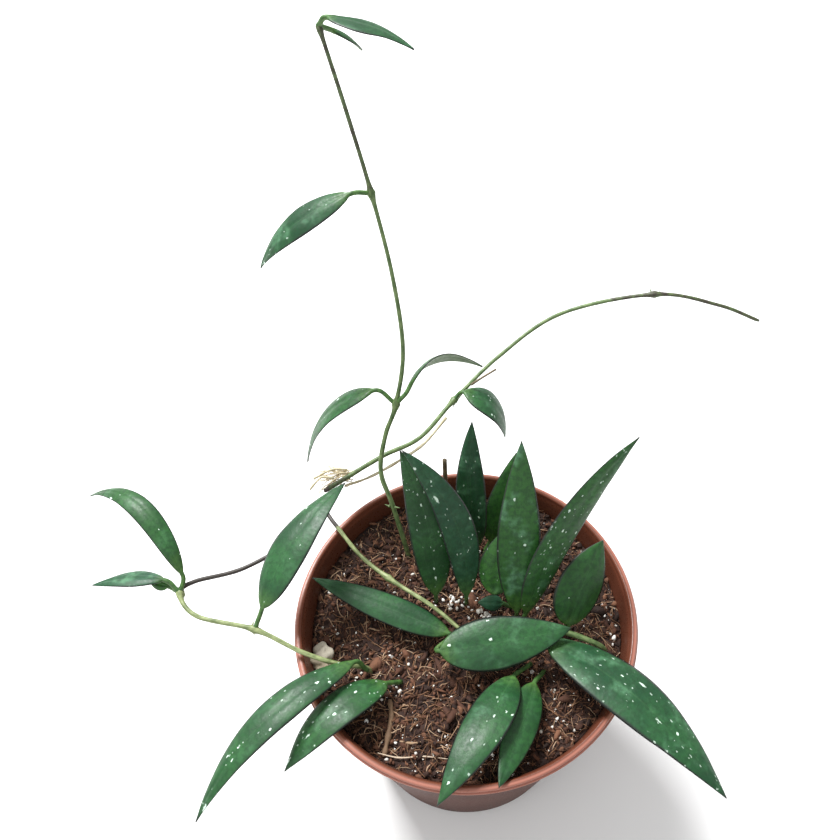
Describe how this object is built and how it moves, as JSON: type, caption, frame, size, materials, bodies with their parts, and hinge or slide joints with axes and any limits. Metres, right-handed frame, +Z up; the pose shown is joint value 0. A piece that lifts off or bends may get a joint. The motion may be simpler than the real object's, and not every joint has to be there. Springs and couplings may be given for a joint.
{
  "type": "potted hoya plant",
  "caption": "Trailing hoya with narrow speckled leaves and long bare runners, rooted in peat and coir in a terracotta-coloured plastic nursery pot.",
  "frame": {"origin": "centre of the pot's underside, on its flat centre pad", "axes": "+Z up the pot's axis; -Y is the side the plant is seen from; the bare runner trails to +X and +Y, the looped vine to -X"},
  "size_m": [0.2571, 0.1911, 0.2532],
  "materials": {
    "pot_plastic": "satin moulded",
    "potting_mix": "crumbly, damp peat and coir",
    "leaf": "satin, speckled",
    "stem": "smooth green to grey-brown skin",
    "dry_stem": "dry bark",
    "root": "dry, pale"
  },
  "bodies": {
    "root": {"pot": "pot_plastic", "soil": "potting_mix", "tall_vine": "stem", "runner_vine": "stem", "loop_vine": "stem", "right_stem": "stem", "cut_stub": "dry_stem", "dried_twig": "dry_stem", "pale_strand": "root", "aerial_root_1": "root", "aerial_root_2": "root", "tall_leaf_1": "leaf", "tall_leaf_2": "leaf", "tall_leaf_3": "leaf", "tall_leaf_4": "leaf", "tall_leaf_5": "leaf", "runner_leaf": "leaf", "loop_leaf_1": "leaf", "loop_leaf_2": "leaf", "loop_leaf_3": "leaf", "loop_leaf_4": "leaf", "left_leaf_long": "leaf", "left_leaf_short": "leaf", "front_leaf_long": "leaf", "front_leaf_short": "leaf", "right_leaf": "leaf", "centre_leaf_right": "leaf", "centre_leaf_left": "leaf", "upright_leaf_1": "leaf", "upright_leaf_2": "leaf", "upright_leaf_3": "leaf", "upright_leaf_4": "leaf", "upright_leaf_5": "leaf", "upright_leaf_6": "leaf", "upright_leaf_7": "leaf", "upright_leaf_8": "leaf", "upright_leaf_9": "leaf"}
  },
  "joints": []
}
